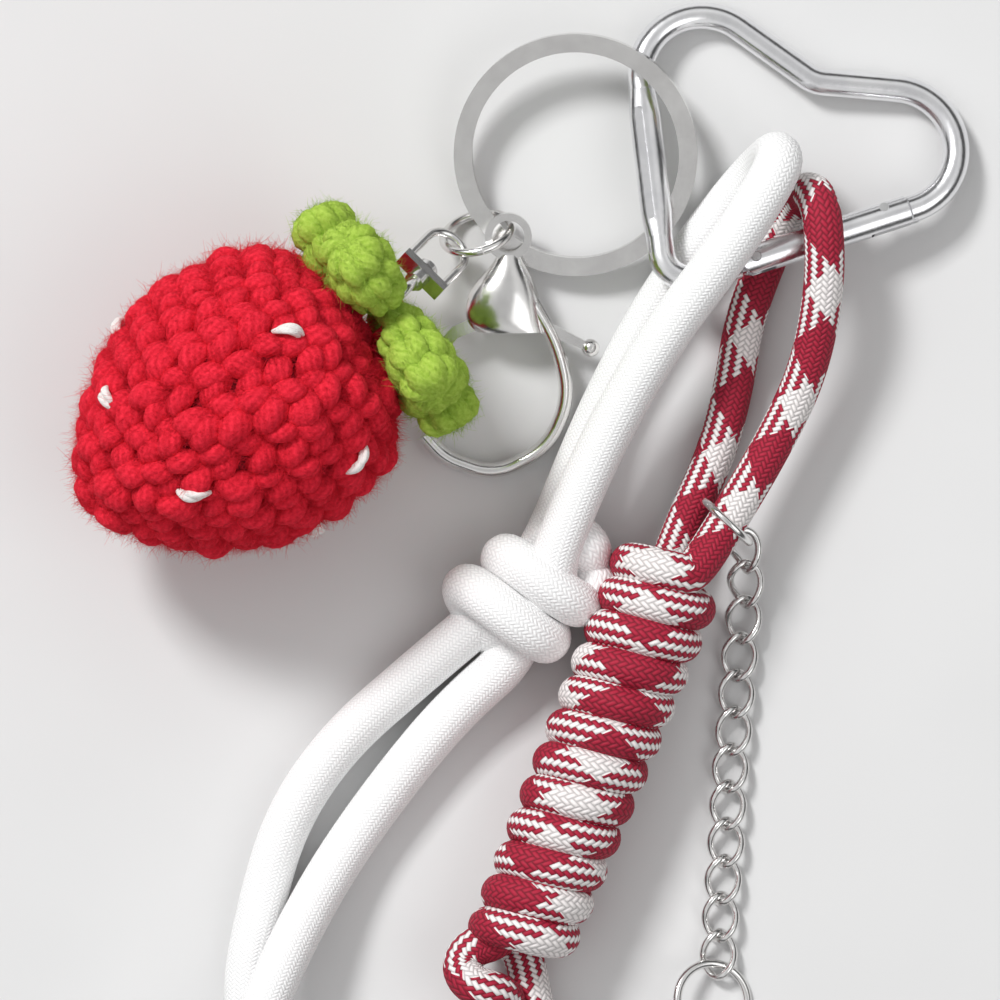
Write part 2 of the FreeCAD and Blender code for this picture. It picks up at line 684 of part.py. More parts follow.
def leaf_calyx():
    """A round middle with five lobes over the shoulder, and a dent where the swivel's eye hangs."""
    thick, wide, length = (size(a) for a in ("leaf_thickness", "leaf_width", "leaf_length"))
    rows = [(x, share * length, t * thick / 2, w * wide / 2) for x, share, t, w in LEAF_ROWS]
    calyx = Part.makeCylinder(4.3, 2.4, Vector(-2.5, 0, 0), X_AXIS)
    for angle in LEAF_ANGLES:
        lobe = oval_loft(rows)
        lobe.Placement = Placement(Vector(), Rotation(X_AXIS, 90 - angle))
        calyx = calyx.fuse(lobe)
    eye_centre = swivel_frame().multVec(Vector(size("stirrup_length") + 2.6 + size("swivel_eye_radius"), 0, 0))
    room = Part.makeSphere(size("leaf_eye_room"), berry_frame().inverse().multVec(eye_centre))
    shape_part("leaf_calyx", calyx.cut(room).Solids[0], berry_frame())


SEEDS = [(0.17, -15, 148), (0.74, -42, 89), (0.67, 25, 150), (0.21, 54, 13), (0.45, 96, 70),
         (0.40, 128, 60), (0.72, 215, 80), (0.38, 232, 70), (0.62, 265, 60)]


def berry_radius_at(share):
    """The strawberry's radius at a share of its length, between the profile's points."""
    for (a, ra), (b, rb) in zip(BERRY_SHARES, BERRY_SHARES[1:]):
        if share <= b:
            return size("berry_radius") * (ra + (rb - ra) * (share - a) / (b - a))
    return 0.0


def seed_stitches():
    """White yarn stitches scattered over the strawberry, one group of separate solids."""
    seeds = []
    for share, angle, spin in SEEDS:
        out = Placement(Vector(), Rotation(X_AXIS, -angle))
        height = berry_radius_at(share) + 0.55
        stitch = Placement(Vector(share * size("berry_length"), 0, height), Rotation(Z_AXIS, spin))
        seeds.append(ellipsoid(f"seed_{len(seeds) + 1}", out.multiply(stitch),
                               "seed_length / 2", "seed_width / 2", "seed_width / 2"))
    group = doc.addObject("Part::Compound", "seed_group")
    group.Links = seeds
    sub_part(group, "seed_stitches", berry_frame())


def hanging_loop():
    """The yarn loop sewn into the calyx, through the swivel's eye."""
    eye_far = size("stirrup_length") + 2.6 + 2 * size("swivel_eye_radius")
    through = swivel_frame().multVec(Vector(eye_far - size("wire_diameter") / 2 - 0.8, 0, 0))
    root = berry_frame().multVec(Vector(0.3, 0, 0))
    axis = (root - through).normalize()
    side = swivel_frame().Rotation.multVec(Y_AXIS)
    side = (side - axis * side.dot(axis)).normalize()
    half = 1.75
    reach = (root - through).Length
    corners = [root + side * half, through + side * half, through - side * half, root - side * half]
    loop = tube(rounded_path(corners, [half * 0.98] * 2), size("yarn_diameter") / 2)
    shape_part("hanging_loop", loop)
    print(f"hanging loop reach {reach:.2f}")


# ---------------------------------------------------------------- white cord

# From the knot's top, under the heart's tip, up through the heart, over the gate and back.
WHITE_LOOP = [
    (4.9, -6.2, 3.4), (10.3, 7.4, 2.85), (16.2, 19.4, 2.8), (22.4, 28.8, 2.8), (27.6, 35.6, 2.9),
    (30.6, 38.8, 5.2), (32.0, 39.8, 9.6), (31.6, 37.4, 13.6), (26.1, 28.6, 13.8),
    (18.5, 18.6, 11.8), (11.9, 7.2, 9.4), (6.0, -6.4, 9.1),
]
# From the knot's foot down the left strand, round the wrist loop and back up the right strand.
WHITE_TAILS = [
    (-1.6, -13.2, 4.2), (-10.0, -20.3, 2.9), (-18.6, -27.8, 2.8), (-24.6, -36.6, 2.8),
    (-27.6, -46.8, 2.8), (-29.6, -57.6, 2.8), (-26.6, -68.4, 2.8), (-19.4, -76.8, 2.8),
    (-14.0, -86.2, 2.8), (-16.2, -96.8, 2.8), (-24.6, -103.6, 2.8), (-35.2, -102.6, 2.8),
    (-42.4, -94.6, 2.8), (-42.0, -83.8, 2.9), (-36.6, -74.4, 5.2), (-30.4, -66.0, 8.3),
    (-26.6, -56.8, 8.5), (-23.2, -49.4, 6.0), (-18.4, -41.0, 2.9), (-11.6, -31.6, 2.8),
    (-4.8, -23.6, 3.0), (2.6, -17.2, 4.2),
]


def white_cord():
    """The doubled wrist cord, its knot as one rounded solid."""
    diameter = size("white_cord_diameter")
    shape_part("white_cord_loop", cord_tube("white cord loop", WHITE_LOOP, diameter))
    shape_part("white_cord_wrist_loop", cord_tube("white wrist loop", WHITE_TAILS, diameter))
    place = Placement(at(2.9, -10.9, 6.2), Rotation())
    knot = ellipsoid("white_knot_blob", place, "knot_width / 2", "knot_length / 2", "knot_thickness / 2")
    sub_part(knot, "white_cord_knot", place)


# ---------------------------------------------------------------- red and white paracord

WRAP_TOP = (20.4, -5.6, 7.0)
WRAP_FOOT = (0.5, -55.1, 6.4)
# From the wrap's top, under the gate, round it inside the heart, over it and back.
RED_LOOP = [
    (17.4, -9.6, 5.8), (21.0, -3.2, 3.2), (24.8, 5.0, 2.4), (26.9, 12.8, 2.35), (28.0, 20.4, 2.35),
    (30.6, 27.6, 2.35), (33.4, 33.2, 2.5), (35.0, 35.5, 5.2), (36.2, 35.0, 9.0), (37.0, 31.8, 11.2),
    (37.2, 24.6, 10.6), (35.4, 14.6, 7.6), (30.9, 5.6, 7.2), (26.2, -2.2, 8.2), (22.6, -8.6, 7.6),
]
RED_CORE_TAIL = [(0.1, -53.3, 6.0), (-1.6, -59.6, 3.4), (-2.4, -65.0, 2.4), (-1.8, -70.4, 2.4)]
RED_WRAP_TAIL = [(2.9, -53.3, 6.0), (4.2, -59.6, 3.2), (5.0, -64.8, 2.4), (6.6, -69.8, 2.4)]


def red_cord():
    """The two-colour cord: a loop round the gate, twelve turns wrapped round its core, two ends."""
    diameter = size("red_cord_diameter")
    shape_part("red_cord_loop", cord_tube("red cord loop", RED_LOOP, diameter))
    shape_part("red_cord_core_end", cord_tube("red core end", RED_CORE_TAIL, diameter))
    shape_part("red_cord_wrap_end", cord_tube("red wrap end", RED_WRAP_TAIL, diameter))
    top, foot = at(*WRAP_TOP), at(*WRAP_FOOT)
    axis = foot - top
    wide, narrow, ease = size("wrap_diameter") / 2, size("wrap_end_diameter") / 2, 2.2
    outline = [(0, 0), (0, wide - ease), (ease, wide), (axis.Length - ease, narrow),
               (axis.Length, narrow - ease), (axis.Length, 0)]
    face = Part.Face(Part.makePolygon([Vector(0, r, a) for a, r in outline + outline[:1]]))
    solid = face.revolve(Vector(), Z_AXIS, 360)
    shape_part("red_cord_wrap", solid, Placement(top, Rotation(Z_AXIS, axis)))


# ---------------------------------------------------------------- chain

def link_solid():
    """One oval wire link, long along X and twisted so that its two ends cross."""
    half_long = (size("link_pitch") + size("link_gap") + size("chain_wire")) / 2
    half_wide = (size("link_width") - size("chain_wire")) / 2
    points = []
    for step in range(20):
        angle = 2 * math.pi * step / 20
        x, y = half_long * math.cos(angle), half_wide * math.sin(angle)
        turn = math.radians(size("link_twist")) * x / half_long
        points.append(Vector(x, y * math.cos(turn), y * math.sin(turn)))
    curve = Part.BSplineCurve()
    curve.interpolate(points, PeriodicFlag=True)
    middle = (curve.FirstParameter + curve.LastParameter) / 2
    first = tube(Part.Wire(curve.toShape(curve.FirstParameter, middle)), size("chain_wire") / 2)
    second = tube(Part.Wire(curve.toShape(middle, curve.LastParameter)), size("chain_wire") / 2)
    return first.fuse(second).Solids[0]


CHAIN_HEADINGS = [-85, -90, -96, -96, -93, -96, -94, -93, -93, -96, -92, -94]
CHAIN_DIVES = [29, 20, 8, 2, 0, 0, 0, 0, 0, 0, 0, 0]
CHAIN_ROLLS = [31, 18, 8, 0, 0, 0, 0, 0, 0, 0, 0, 0]


def chain_ring_frame():
    """The ring stands across the front strand of the red cord, near the wrap."""
    across = unit(-42.6)
    upright = Rotation(across, Z_AXIS, across.cross(Z_AXIS), "XYZ")
    return Placement(at(26.05, -2.55, 7.5), upright)


def chain_frames():
    """Each link's place, from the ring's lower edge down the chain, and the last joint."""
    frames = []
    pitch = size("link_pitch")
    hang = unit(-41) * size("chain_ring_radius")
    first_pull = Rotation(Z_AXIS, CHAIN_HEADINGS[0]).multiply(Rotation(Y_AXIS, CHAIN_DIVES[0]))
    slack = first_pull.multVec(X_AXIS) * (size("chain_ring_wire") / 2)
    joint = chain_ring_frame().multVec(hang) - slack
    for heading, dive, roll in zip(CHAIN_HEADINGS, CHAIN_DIVES, CHAIN_ROLLS):
        turn = Rotation(Z_AXIS, heading).multiply(Rotation(Y_AXIS, dive))
        along = turn.multVec(X_AXIS)
        frames.append(Placement(joint + along * pitch / 2, turn.multiply(Rotation(X_AXIS, roll))))
        joint = joint + along * pitch
    return frames, joint


def wire_ring(name, radius, wire, placement):
    ring = doc.addObject("Part::Torus", name + "_wire")
    bind(ring, Radius1=radius, Radius2=wire)
    sub_part(ring, name, placement)


def chain():
    """A ring round the red cord, twelve links and a larger end ring."""
    wire_ring("chain_top_ring", "chain_ring_radius", "chain_ring_wire / 2", chain_ring_frame())
    frames, joint = chain_frames()
    solid = link_solid()
    for index, frame in enumerate(frames, start=1):
        shape_part(f"chain_link_{index:02d}", solid, frame)
    print("last chain joint", joint)
    reach = size("end_ring_radius") - size("wire_diameter") / 2 - size("end_ring_slack")
    lean = Rotation(Z_AXIS, -99.62).multiply(Rotation(Y_AXIS, -12.2)).multiply(Rotation(X_AXIS, -20.59))
    place = Placement(joint + Z_AXIS * size("end_ring_lift") + lean.multVec(X_AXIS) * reach, lean)
    wire_ring("chain_end_ring", "end_ring_radius", "wire_diameter / 2", place)


def write_parts():
    """Tests every object and sub-part, then writes one STEP file for each sub-part."""
    doc.recompute()
    for obj in doc.Objects:
        if "Invalid" in obj.State or "Error" in obj.State:
            raise RuntimeError(f"{obj.Name} did not build: {obj.State}")
    os.makedirs("parts", exist_ok=True)
    for obj in sub_parts:
        if obj.Shape.isNull() or not obj.Shape.isValid() or not obj.Shape.Solids:
            raise RuntimeError(f"{obj.Label} has no valid solid")
        obj.Shape.exportStep(f"parts/{obj.Label}.step")
    print(len(sub_parts), "sub-parts written")


carabiner_body()
carabiner_gate()
gate_pins()
gate_spring()
split_ring_part()
jump_ring()
clasp_body()
clasp_lever()
clasp_pin()
swivel_stirrup()
swivel_eye()
berry_parts()
leaf_calyx()
seed_stitches()
hanging_loop()
white_cord()
red_cord()
chain()
write_parts()
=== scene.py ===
import bpy
import json
import math
import random
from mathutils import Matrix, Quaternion, Vector


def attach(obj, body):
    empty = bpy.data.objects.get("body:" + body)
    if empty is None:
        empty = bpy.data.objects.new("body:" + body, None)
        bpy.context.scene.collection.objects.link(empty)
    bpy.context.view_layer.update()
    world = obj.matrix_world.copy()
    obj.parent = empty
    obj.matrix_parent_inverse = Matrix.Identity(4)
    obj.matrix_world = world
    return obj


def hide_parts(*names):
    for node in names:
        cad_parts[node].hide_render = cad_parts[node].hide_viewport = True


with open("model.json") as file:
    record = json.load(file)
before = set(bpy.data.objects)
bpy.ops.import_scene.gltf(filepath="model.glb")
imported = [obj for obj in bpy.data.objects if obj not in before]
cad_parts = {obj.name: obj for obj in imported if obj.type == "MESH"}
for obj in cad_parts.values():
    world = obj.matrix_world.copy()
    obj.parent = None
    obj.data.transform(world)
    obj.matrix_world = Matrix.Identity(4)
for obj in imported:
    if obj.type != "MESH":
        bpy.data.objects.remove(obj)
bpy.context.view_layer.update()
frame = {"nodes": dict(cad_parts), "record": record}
random.seed(7)

MM = 0.001
# How far the layout's origin lies from the row frame's, in millimetres.
SHIFT = (2.3, -2.9)
WHITE_D = 5.5
RED_D = 4.6
CAMERA_HEIGHT = 1230.0
UP = Vector((0, 0, 1))


def place(x, y, z=0.0):
    """A layout point, in millimetres, as a point of the row frame in metres."""
    return Vector(((x - SHIFT[0]) * MM, (y - SHIFT[1]) * MM, z * MM))


# ---------------------------------------------------------------- camera

camera_data = bpy.data.cameras.new("camera")
camera_data.lens = 384.0
camera_data.sensor_width = 36.0
camera_data.clip_start = 0.05
camera_data.clip_end = 5.0
camera = bpy.data.objects.new("camera", camera_data)
camera.location = place(0.0, 0.0, CAMERA_HEIGHT)
bpy.context.scene.collection.objects.link(camera)
bpy.context.scene.camera = camera
bpy.context.scene.view_settings.view_transform = "Standard"


# ---------------------------------------------------------------- meshes from lines

# How far a cord's cut end bulges, as a share of its radius.
CAP_DOME = 0.3


def mesh_object(name, verts, faces, material, uvs=None):
    """A smooth mesh object in the row frame, with one UV pair for each corner of each face."""
    mesh = bpy.data.meshes.new(name)
    mesh.from_pydata([tuple(v) for v in verts], [], faces)
    mesh.polygons.foreach_set("use_smooth", [True] * len(faces))
    if uvs is not None:
        layer = mesh.uv_layers.new(name="along")
        for polygon, corners in zip(mesh.polygons, uvs):
            for loop, uv in zip(polygon.loop_indices, corners):
                layer.data[loop].uv = uv
    mesh.materials.append(material)
    mesh.update()
    obj = bpy.data.objects.new(name, mesh)
    bpy.context.scene.collection.objects.link(obj)
    return obj


def spread(points, step):
    """Points at equal steps along a line."""
    out, rest = [points[0].copy()], 0.0
    for a, b in zip(points, points[1:]):
        length = (b - a).length
        at = step - rest
        while at < length:
            out.append(a.lerp(b, at / length))
            at += step
        rest = length - (at - step)
    if (out[-1] - points[-1]).length > 0.3 * step:
        out.append(points[-1].copy())
    return out


def frames_along(points):
    """A tangent and a steady sideways direction at each point of a line."""
    tangents = []
    for i in range(len(points)):
        tangents.append((points[min(i + 1, len(points) - 1)] - points[max(i - 1, 0)]).normalized())
    side = tangents[0].orthogonal().normalized()
    sides = [side]
    for a, b in zip(tangents, tangents[1:]):
        side = a.rotation_difference(b) @ side
        side = (side - b * side.dot(b)).normalized()
        sides.append(side)
    return tangents, sides


def nurbs_line(name, route):
    """The centreline of a cord: a NURBS spline through its route, read back as points."""
    curve = bpy.data.curves.new(name + "_line", "CURVE")
    curve.dimensions = "3D"
    spline = curve.splines.new("NURBS")
    spline.points.add(len(route) - 1)
    for point, co in zip(spline.points, route):
        point.co = (*co, 1.0)
    spline.order_u = 3
    spline.use_endpoint_u = True
    spline.resolution_u = 10
    holder = bpy.data.objects.new(name + "_line", curve)
    bpy.context.scene.collection.objects.link(holder)
    bpy.context.view_layer.update()
    read = bpy.data.meshes.new_from_object(holder.evaluated_get(bpy.context.evaluated_depsgraph_get()))
    points = [v.co.copy() for v in read.vertices]
    bpy.data.objects.remove(holder)
    bpy.data.meshes.remove(read)
    return points


def tube(name, points, radius, sides, material):
    """A round tube along points, with a slightly domed cap at each end."""
    tangents, normals = frames_along(points)
    verts, faces, uvs = [], [], []
    run = [0.0]
    for a, b in zip(points, points[1:]):
        run.append(run[-1] + (b - a).length)
    for p, t, n in zip(points, tangents, normals):
        other = t.cross(n)
        for k in range(sides):
            angle = 2 * math.pi * k / sides
            verts.append(p + (n * math.cos(angle) + other * math.sin(angle)) * radius)
    for i in range(len(points) - 1):
        for k in range(sides):
            n = (k + 1) % sides
            faces.append((i * sides + k, i * sides + n, (i + 1) * sides + n, (i + 1) * sides + k))
            v0, v1 = k / sides, (k + 1) / sides
            uvs.append(((run[i], v0), (run[i], v1), (run[i + 1], v1), (run[i + 1], v0)))
    for ring, turn in ((0, -1), (len(points) - 1, 1)):
        centre = len(verts)
        verts.append(points[ring] + tangents[ring] * radius * CAP_DOME * turn)
        for k in range(sides):
            n = (k + 1) % sides
            corner = (ring * sides + k, ring * sides + n, centre)
            faces.append(corner if turn > 0 else corner[::-1])
            uvs.append(((run[ring], 0.1),) * 3)
    return mesh_object(name, verts, faces, material, uvs)


# ---------------------------------------------------------------- materials

# The sockets of a Mix node that is set to mix colours.
MIX_FACTOR, MIX_A, MIX_B, MIX_RESULT = 0, 6, 7, 2
# How much of a two-coloured braid's carriers have the second colour, and how dark the painted shade in its
# gaps is.
SECOND_COLOUR_SHARE = 0.58
SECOND_PAINTED_SHADE = 0.4
BEAD_HEIGHT = 0.00016
FIBRES_AROUND = 9


def calc(tree, operation, a, b=0.0, c=0.0):
    """One step of arithmetic in a shader."""
    made = tree.nodes.new("ShaderNodeMath")
    made.operation = operation
    for socket, value in zip(made.inputs, (a, b, c)):
        if isinstance(value, bpy.types.NodeSocket):
            tree.links.new(value, socket)
        else:
            socket.default_value = value
    return made.outputs[0]


def new_material(name):
    """A material with an empty Principled surface: its tree and its shader."""
    material = bpy.data.materials.new(name)
    material.use_nodes = True
    tree = material.node_tree
    return material, tree, tree.nodes["Principled BSDF"]


def bump(tree, shader, height, strength, distance):
    """Raises the shader's surface by a height, in metres at full strength."""
    made = tree.nodes.new("ShaderNodeBump")
    made.inputs["Strength"].default_value = strength
    made.inputs["Distance"].default_value = distance
    tree.links.new(height, made.inputs["Height"])
    tree.links.new(made.outputs[0], shader.inputs["Normal"])


def noise(tree, scale, detail=3.0, roughness=0.55, stretch=None):
    """Noise on the object's own coordinates, in cycles per metre."""
    place_in = tree.nodes.new("ShaderNodeTexCoord").outputs["Object"]
    if stretch:
        mapping = tree.nodes.new("ShaderNodeMapping")
        mapping.inputs["Scale"].default_value = stretch
        tree.links.new(place_in, mapping.inputs["Vector"])
        place_in = mapping.outputs[0]
    made = tree.nodes.new("ShaderNodeTexNoise")
    made.inputs["Scale"].default_value = scale
    made.inputs["Detail"].default_value = detail
    made.inputs["Roughness"].default_value = roughness
    tree.links.new(place_in, made.inputs["Vector"])
    return made.outputs["Fac"]


def ramp(tree, value, low, high, colour_low, colour_high):
    """A colour that runs from one to the other as a value goes from low to high."""
    made = tree.nodes.new("ShaderNodeMapRange")
    made.inputs["From Min"].default_value = low
    made.inputs["From Max"].default_value = high
    tree.links.new(value, made.inputs["Value"])
    return mix_colours(tree, made.outputs[0], colour_low, colour_high)


def mix_colours(tree, share, first, second):
    """Two colours, plain or from sockets, mixed by a share."""
    mix = tree.nodes.new("ShaderNodeMix")
    mix.data_type = "RGBA"
    tree.links.new(share, mix.inputs[MIX_FACTOR])
    for socket, colour in ((mix.inputs[MIX_A], first), (mix.inputs[MIX_B], second)):
        if isinstance(colour, bpy.types.NodeSocket):
            tree.links.new(colour, socket)
        else:
            socket.default_value = (*colour, 1)
    return mix.outputs[MIX_RESULT]


def yarn_uv(tree):
    """Where a point lies on a cord: how far along it in metres, and its share of a turn round it."""
    uv = tree.nodes.new("ShaderNodeUVMap")
    uv.uv_map = "along"
    split = tree.nodes.new("ShaderNodeSeparateXYZ")
    tree.links.new(uv.outputs[0], split.inputs[0])
    return split.outputs[0], split.outputs[1]


def metal(name, colour, dark, rough_low, rough_high, scratch):
    """Bare or plated metal: cloudy roughness, faint staining and fine handling marks."""
    material, tree, shader = new_material(name)
    shader.inputs["Metallic"].default_value = 1.0
    tree.links.new(ramp(tree, noise(tree, 260), 0.35, 0.7, dark, colour), shader.inputs["Base Color"])
    cloud = tree.nodes.new("ShaderNodeMapRange")
    cloud.inputs["To Min"].default_value = rough_low
    cloud.inputs["To Max"].default_value = rough_high
    tree.links.new(noise(tree, 900, 4.0), cloud.inputs["Value"])
    tree.links.new(cloud.outputs[0], shader.inputs["Roughness"])
    bump(tree, shader, noise(tree, 2600, 2.0, 0.5, (1.0, 0.25, 1.0)), scratch, 0.00004)
    return material


def woven_height(tree, a, b):
    """How high each bead of a two-over, two-under braid stands, and where the first set is on top."""
    part_a = calc(tree, "FLOORED_MODULO", calc(tree, "ADD", calc(tree, "FLOOR", a), b), 4.0)
    part_b = calc(tree, "FLOORED_MODULO", calc(tree, "ADD", a, calc(tree, "FLOOR", b)), 4.0)
    heights = []
    for strand, part, sign in ((a, part_a, 1.0), (b, part_b, -1.0)):
        across = calc(tree, "SINE", calc(tree, "MULTIPLY", calc(tree, "FRACT", strand), math.pi))
        along = calc(tree, "SINE", calc(tree, "MULTIPLY", part, sign * math.pi / 2))
        crown = calc(tree, "POWER", calc(tree, "MAXIMUM", along, 0.0), 0.6)
        heights.append(calc(tree, "MULTIPLY", across, crown))
    return calc(tree, "MAXIMUM", *heights), calc(tree, "LESS_THAN", part_a, 2.0)


def two_colours(tree, a, b, a_on_top, carriers):
    """Where the second colour shows: its carriers lie side by side in each of the two sets."""
    shares = []
    for strand in (a, b):
        shares.append(calc(tree, "LESS_THAN", calc(tree, "FLOORED_MODULO", strand, carriers),
                           carriers * SECOND_COLOUR_SHARE))
    gap = calc(tree, "SUBTRACT", shares[0], shares[1])
    return calc(tree, "MULTIPLY_ADD", gap, a_on_top, shares[1])


def braid(name, carriers, lay, colour, second=None, painted_shade_share=0.55, strength=0.75):
    """A round braid of so many carriers a turn, whose strands go once round in each lay."""
    material, tree, shader = new_material(name)
    along, around = yarn_uv(tree)
    turns = calc(tree, "DIVIDE", along, lay)
    a = calc(tree, "MULTIPLY", calc(tree, "ADD", around, turns), carriers)
    b = calc(tree, "MULTIPLY", calc(tree, "SUBTRACT", around, turns), carriers)
    height, a_on_top = woven_height(tree, a, b)
    # Each bead's colour darkens towards its low edges: painted shade in the gaps between beads.
    shade = ramp(tree, height, 0.0, 0.7, tuple(c * painted_shade_share for c in colour), colour)
    if second:
        shade_two = ramp(tree, height, 0.0, 0.7, tuple(c * SECOND_PAINTED_SHADE for c in second), second)
        shade = mix_colours(tree, two_colours(tree, a, b, a_on_top, carriers), shade, shade_two)
    tree.links.new(shade, shader.inputs["Base Color"])
    fuzz = noise(tree, 5200, 2.0)
    bump(tree, shader, calc(tree, "MULTIPLY_ADD", fuzz, 0.3, height), strength, BEAD_HEIGHT)
    shader.inputs["Roughness"].default_value = 0.7
    shader.inputs["Specular IOR Level"].default_value = 0.35
    return material


def wool(name, colour, deep, twist):
    """Twisted yarn that goes once round in each twist, with loose fibre between its plies."""
    material, tree, shader = new_material(name)
    along, around = yarn_uv(tree)
    wind = calc(tree, "ADD", around, calc(tree, "DIVIDE", along, twist))
    fibres = calc(tree, "SINE", calc(tree, "MULTIPLY", wind, 2 * math.pi * FIBRES_AROUND))
    grain = noise(tree, 2400, 5.0, 0.7)
    height = calc(tree, "MULTIPLY_ADD", fibres, 0.07, grain)
    # The colour darkens where the yarn's surface is low: painted shade in the grooves between fibres, with
    # random tone from the grain noise.
    tree.links.new(ramp(tree, height, 0.25, 0.75, deep, colour), shader.inputs["Base Color"])
    bump(tree, shader, height, 0.6, 0.0003)
    shader.inputs["Roughness"].default_value = 0.95
    shader.inputs["Specular IOR Level"].default_value = 0.12
    return material


def plain_cloth(name, colour, deep):
    """Matted wool, without any strands to be seen."""
    material, tree, shader = new_material(name)
    tree.links.new(ramp(tree, noise(tree, 1500, 5.0), 0.3, 0.7, deep, colour), shader.inputs["Base Color"])
    bump(tree, shader, noise(tree, 3000, 3.0), 0.6, 0.0004)
    shader.inputs["Roughness"].default_value = 1.0
    return material


ALUMINIUM = metal("satin_aluminium", (0.90, 0.90, 0.91), (0.80, 0.80, 0.82), 0.16, 0.30, 0.25)
NICKEL = metal("nickel_plate", (0.84, 0.83, 0.82), (0.74, 0.73, 0.72), 0.15, 0.27, 0.14)
PIN_STEEL = metal("pin_steel", (0.70, 0.70, 0.70), (0.58, 0.58, 0.58), 0.22, 0.36, 0.3)
WHITE_BRAID = braid("white_braid", 30, 0.014, (0.97, 0.97, 0.97), painted_shade_share=0.84, strength=0.5)
RED_BRAID = braid("two_colour_braid", 20, 0.0138, (0.93, 0.88, 0.87), (0.42, 0.014, 0.044))
# Each wool's second colour is its painted shade in the grooves, mixed with random tone.
RED_WOOL = wool("red_wool", (0.96, 0.034, 0.066), (0.52, 0.008, 0.020), 0.008)
GREEN_WOOL = wool("green_wool", (0.50, 0.68, 0.12), (0.27, 0.44, 0.04), 0.007)
WHITE_WOOL = wool("white_wool", (0.95, 0.92, 0.90), (0.75, 0.70, 0.68), 0.006)
# The two grounds are far darker than their yarn: painted shade for the gaps between stitches.
RED_SHADE_GROUND = plain_cloth("red_shade_ground", (0.20, 0.003, 0.010), (0.09, 0.001, 0.005))
GREEN_SHADE_GROUND = plain_cloth("green_shade_ground", (0.08, 0.2, 0.01), (0.03, 0.09, 0.004))


# ---------------------------------------------------------------- white cord

# The doubled cord from the knot's top up through the heart, over the gate and back.
WHITE_LOOP = [
    (4.9, -6.2, 3.4), (10.3, 7.4, 2.85), (16.2, 19.4, 2.8), (22.4, 28.8, 2.8), (27.6, 35.6, 2.9),
    (30.6, 38.8, 5.2), (32.0, 39.8, 9.6), (31.6, 37.4, 13.6), (26.1, 28.6, 13.8),
    (18.5, 18.6, 11.8), (11.9, 7.2, 9.4), (6.0, -6.4, 9.1),
]
# From the knot's foot down the left strand, round the wrist loop and back up the right strand.
WHITE_TAILS = [
    (-1.6, -13.2, 4.2), (-10.0, -20.3, 2.9), (-18.6, -27.8, 2.8), (-24.6, -36.6, 2.8),
    (-27.6, -46.8, 2.8), (-29.6, -57.6, 2.8), (-26.6, -68.4, 2.8), (-19.4, -76.8, 2.8),
    (-14.0, -86.2, 2.8), (-16.2, -96.8, 2.8), (-24.6, -103.6, 2.8), (-35.2, -102.6, 2.8),
    (-42.4, -94.6, 2.8), (-42.0, -83.8, 2.9), (-36.6, -74.4, 5.2), (-30.4, -66.0, 8.3),
    (-26.6, -56.8, 8.5), (-23.2, -49.4, 6.0), (-18.4, -41.0, 2.9), (-11.6, -31.6, 2.8),
    (-4.8, -23.6, 3.0), (2.6, -17.2, 4.2),
]

KNOT = Vector((2.9, -11.2, 6.2))
KNOT_AXIS = Vector((-0.733, -0.68, 0.0))
KNOT_SIDE = Vector((0.68, -0.733, 0.0))
KNOT_STEPS_PER_TURN = 14
KNOT_TURN_HEIGHT = 3.35
CORD_STEP = 0.0006


def knot_point(along, across, up):
    """A point of the knot: along its axis, across it to the right, and up."""
    return KNOT + KNOT_AXIS * along + KNOT_SIDE * across + Vector((0, 0, up))


def knot_turns():
    """Two turns round the strands, laid from the knot's foot back towards its top."""
    points = []
    steps = 2 * KNOT_STEPS_PER_TURN
    for i in range(steps + 1):
        turn = -math.pi / 2 - 2 * math.pi * i / KNOT_STEPS_PER_TURN
        along = 5.6 - 11.2 * i / steps
        reach = 5.7 - 1.0 * i / steps
        points.append(knot_point(along, reach * math.cos(turn), KNOT_TURN_HEIGHT * math.sin(turn)))
    return points


# The cord's last turn shows as two small bights at the knot's right shoulder.
KNOT_SHOULDER = [
    (4.6, -5.2, 3.4), (7.4, -3.6, 6.4), (9.9, -4.9, 7.2), (10.3, -7.0, 4.6), (9.3, -8.1, 3.4),
    (11.0, -9.0, 5.4), (10.6, -11.0, 5.0), (7.0, -11.6, 3.4), (2.5, -10.6, 4.2),
]


def white_route():
    """One cord from end to end: the first loop, the knot, the wrist loop, and back into the knot."""
    core_down = [knot_point(-3.5, 1.2, 1.6), knot_point(2.5, 0.8, 0.2), knot_point(5.6, 0.2, -2.6)]
    route = [knot_point(-0.5, -1.6, -1.0)]
    route += [Vector(p) for p in WHITE_LOOP]
    route += core_down + knot_turns()
    route += [Vector(p) for p in KNOT_SHOULDER]
    route += [Vector(p) for p in WHITE_TAILS]
    route += [knot_point(1.0, 0.8, -1.2)]
    return [place(*p) for p in route]


white_points = spread(nurbs_line("white_cord", white_route()), CORD_STEP)
white_cord = tube("white_cord", white_points, WHITE_D * MM / 2, 28, WHITE_BRAID)


# ---------------------------------------------------------------- red and white cord

WRAP_TOP = Vector((20.4, -5.6, 7.0))
WRAP_FOOT = Vector((0.5, -55.1, 6.4))
# From the wrap's top, under the gate, round it inside the heart, over it and back.
RED_LOOP = [
    (17.4, -9.6, 5.8), (21.0, -3.2, 3.2), (24.8, 5.0, 2.4), (26.9, 12.8, 2.35), (28.0, 20.4, 2.35),
    (30.6, 27.6, 2.35), (33.4, 33.2, 2.5), (35.0, 35.5, 5.2), (36.2, 35.0, 9.0), (37.0, 31.8, 11.2),
    (37.2, 24.6, 10.6), (35.4, 14.6, 7.6), (30.9, 5.6, 7.2), (26.2, -2.2, 8.2), (22.6, -8.6, 7.6),
]
RED_CORE_TAIL = [(0.1, -53.3, 6.0), (-1.6, -59.6, 3.4), (-2.4, -65.0, 2.4), (-1.8, -70.4, 2.4)]
RED_WRAP_TAIL = [(2.9, -53.3, 6.0), (4.2, -59.6, 3.2), (5.0, -64.8, 2.4), (6.6, -69.8, 2.4)]
